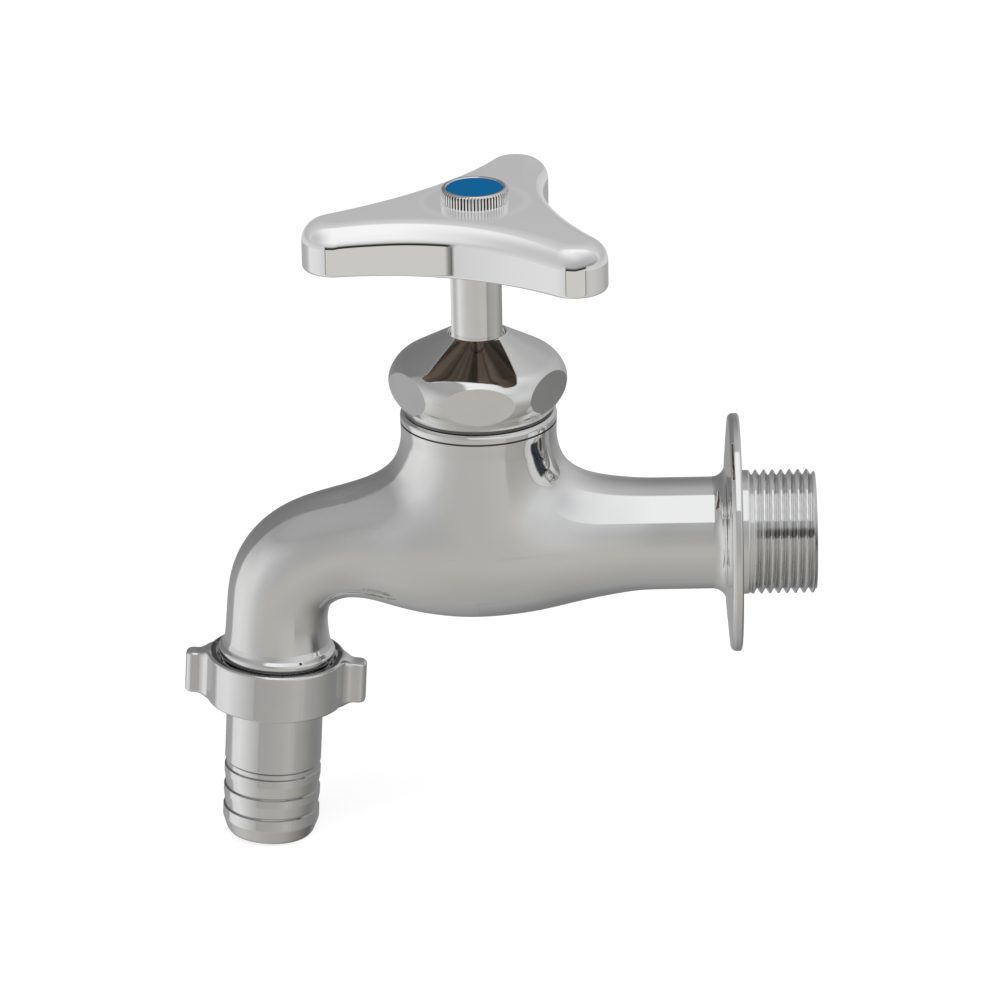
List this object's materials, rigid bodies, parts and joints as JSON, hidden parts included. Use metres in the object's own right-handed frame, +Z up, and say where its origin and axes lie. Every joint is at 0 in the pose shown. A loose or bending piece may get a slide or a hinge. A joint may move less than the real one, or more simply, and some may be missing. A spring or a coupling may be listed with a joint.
{
  "type": "hose bib",
  "caption": "Wall-mounted garden tap with a three-arm turning handle, domed gland nut, down-turned spout, wing coupling nut and barbed hose nipple.",
  "frame": {"origin": "centre of the inlet pipe on the wall plane, which is the back face of the wall flange", "axes": "+X into the wall along the inlet thread, +Z up along the handle spindle, spout on the -X side, +Y completes the right-handed frame"},
  "size_m": [0.1356, 0.0648, 0.1467],
  "materials": {
    "chrome_cast": "polished chrome plate on cast brass",
    "chrome_turned": "chrome plate on turned or forged brass",
    "satin_stem": "turned satin",
    "brass": "turned",
    "steel": "plain",
    "rubber": "matt",
    "index_blue": "gloss"
  },
  "bodies": {
    "tap_body": {"body": "chrome_cast", "cap_nut": "chrome_turned", "cap_gasket": "rubber", "packing_seat": "brass", "stem_packing": "rubber", "gland_washer": "brass"},
    "valve_disc": {"disc_stem": "brass", "disc_washer": "rubber", "disc_nut": "brass"},
    "spindle_set": {"spindle": "satin_stem", "handle": "chrome_cast", "handle_screw": "chrome_turned", "screw_washer": "steel", "index_disc": "index_blue"},
    "coupling_carrier": {"nipple_packing": "rubber", "slip_ring": "brass"},
    "wing_nut": {"coupling_nut": "chrome_turned"},
    "nipple": {"hose_nipple": "chrome_turned"}
  },
  "joints": [
    {"name": "valve_lift", "type": "slide", "parent": "tap_body", "child": "valve_disc", "axis": [0, 0, 1], "range_m": [0, 0.006]},
    {"name": "spindle_turn", "type": "hinge", "parent": "valve_disc", "child": "spindle_set", "pos_m": [-0.0553, 0, 0.05], "axis": [0, 0, 1], "range_deg": [0, 720]},
    {"name": "coupling_drop", "type": "slide", "parent": "tap_body", "child": "coupling_carrier", "axis": [-0.0593, 0, -0.9982], "range_m": [0, 0.0046]},
    {"name": "coupling_nut_turn", "type": "hinge", "parent": "coupling_carrier", "child": "wing_nut", "pos_m": [-0.09977, 0, -0.03109], "axis": [-0.0593, 0, -0.9982], "range_deg": [0, 900]},
    {"name": "nipple_swivel", "type": "hinge", "parent": "coupling_carrier", "child": "nipple", "pos_m": [-0.09995, 0, -0.03408], "axis": [-0.0593, 0, -0.9982], "continuous": true}
  ],
  "couplings": [
    {"joint": "valve_lift", "follows": "spindle_turn", "m_per_rad": 0.000477},
    {"joint": "coupling_drop", "follows": "coupling_nut_turn", "m_per_rad": 0.00028875}
  ]
}
